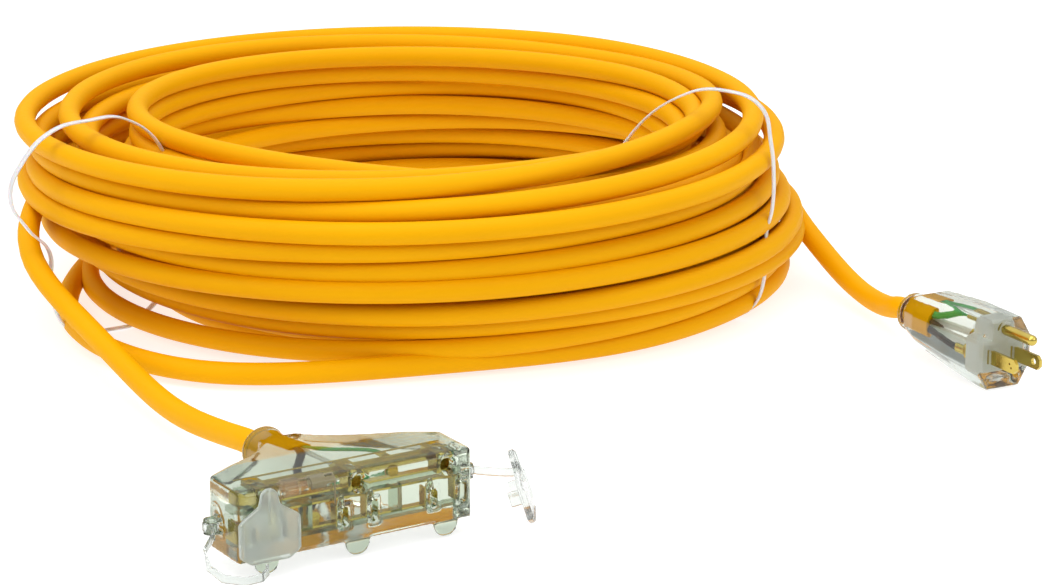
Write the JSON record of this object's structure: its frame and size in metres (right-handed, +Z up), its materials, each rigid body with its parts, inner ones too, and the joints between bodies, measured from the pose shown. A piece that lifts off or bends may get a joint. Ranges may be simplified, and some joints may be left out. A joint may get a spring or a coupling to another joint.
{
  "type": "extension cord",
  "caption": "Coiled grounded extension cord with a clear multi-outlet power block, tethered outlet covers and a clear lighted plug, held in a coil by loose straps.",
  "frame": {"origin": "on the floor, at the middle of the box round the power block, the covers, the plug and the straps", "axes": "+Z up; +X from the block's end of the arrangement towards the plug; +Y from the block towards the coil"},
  "size_m": [0.4723, 0.606, 0.1101],
  "materials": {
    "yellow_jacket": "semi-gloss",
    "nylon_strap": "satin",
    "clear_pvc": "gloss",
    "frosted_pvc": "satin",
    "white_insulator": "gloss",
    "brass": "polished",
    "lamp_glass": "gloss",
    "resistor_coat": "satin",
    "black_insulation": "satin",
    "white_insulation": "satin",
    "green_insulation": "satin"
  },
  "bodies": {
    "cord_set": {"cord_coil": "yellow_jacket", "block_lead": "yellow_jacket", "plug_lead": "yellow_jacket", "left_strap": "nylon_strap", "right_strap": "nylon_strap", "block_body": "clear_pvc", "contact_carrier": "white_insulator", "line_bus": "brass", "neutral_bus": "brass", "ground_bus": "brass", "block_lamp": "lamp_glass", "block_resistor": "resistor_coat", "block_black_wire": "black_insulation", "block_white_wire": "white_insulation", "block_green_wire": "green_insulation", "block_cord_end": "yellow_jacket", "seated_cover_tether": "frosted_pvc", "plug_body": "clear_pvc", "pin_bridge": "white_insulator", "line_blade": "brass", "neutral_blade": "brass", "ground_pin": "brass", "plug_lamp": "lamp_glass", "plug_resistor": "resistor_coat", "plug_black_wire": "black_insulation", "plug_white_wire": "white_insulation", "plug_green_wire": "green_insulation", "plug_cord_end": "yellow_jacket"},
    "seated_cover": {"seated_cover": "frosted_pvc"},
    "hanging_cover": {"hanging_cover": "frosted_pvc", "hanging_cover_tether": "frosted_pvc"}
  },
  "joints": [
    {"name": "seated_cover_pull", "type": "slide", "parent": "cord_set", "child": "seated_cover", "axis": [0.5299, -0.848, 0], "range_m": [0, 0.012], "deforming": ["seated_cover_tether"]},
    {"name": "hanging_cover_swing", "type": "hinge", "parent": "cord_set", "child": "hanging_cover", "pos_m": [-0.0179, -0.11842, 0.0205], "axis": [0, 0, 1], "range_deg": [-60, 40]}
  ]
}
